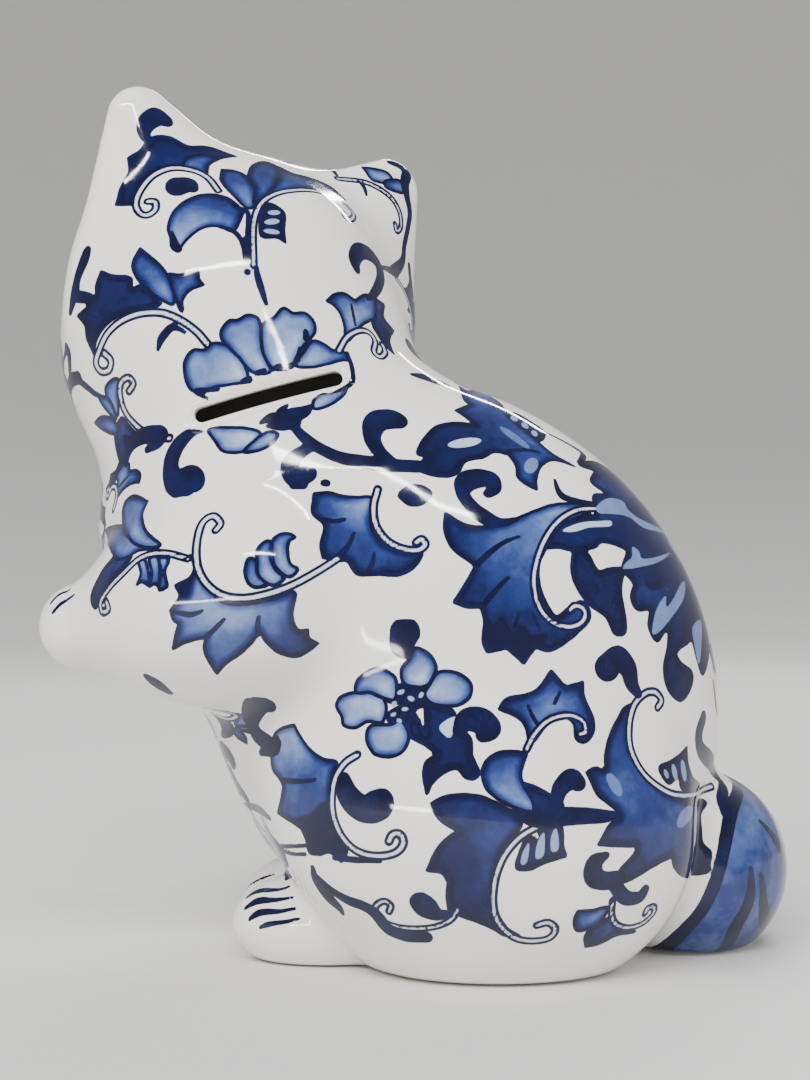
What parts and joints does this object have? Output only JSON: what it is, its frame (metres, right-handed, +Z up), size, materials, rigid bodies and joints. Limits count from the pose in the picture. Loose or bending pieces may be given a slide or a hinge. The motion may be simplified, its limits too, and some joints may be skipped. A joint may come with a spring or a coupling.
{
  "type": "ceramic cat figurine",
  "caption": "Seated hollow ceramic cat with its head turned away, a coin slot in the nape and a soft stopper in the base.",
  "frame": {"origin": "centre of the bounding box in plan, at table height", "axes": "+Z up; the cat's body faces -X and its left side faces -Y; the head is turned towards the cat's right, +Y"},
  "size_m": [0.1776, 0.1268, 0.2065],
  "materials": {
    "glazed_body": "gloss",
    "glazed_head": "gloss",
    "glazed_left_foreleg": "gloss",
    "glazed_right_foreleg": "gloss",
    "glazed_left_hind_paw": "gloss",
    "glazed_right_hind_paw": "gloss",
    "glazed_tail": "gloss",
    "soft_rubber": "matt"
  },
  "bodies": {
    "cat": {"body_shell": "glazed_body", "head_shell": "glazed_head", "left_foreleg": "glazed_left_foreleg", "right_foreleg": "glazed_right_foreleg", "left_hind_paw": "glazed_left_hind_paw", "right_hind_paw": "glazed_right_hind_paw", "tail": "glazed_tail"},
    "stopper": {"stopper": "soft_rubber"}
  },
  "joints": [
    {"name": "stopper_pull", "type": "slide", "parent": "cat", "child": "stopper", "axis": [0, 0, -1], "range_m": [0, 0.03]}
  ]
}
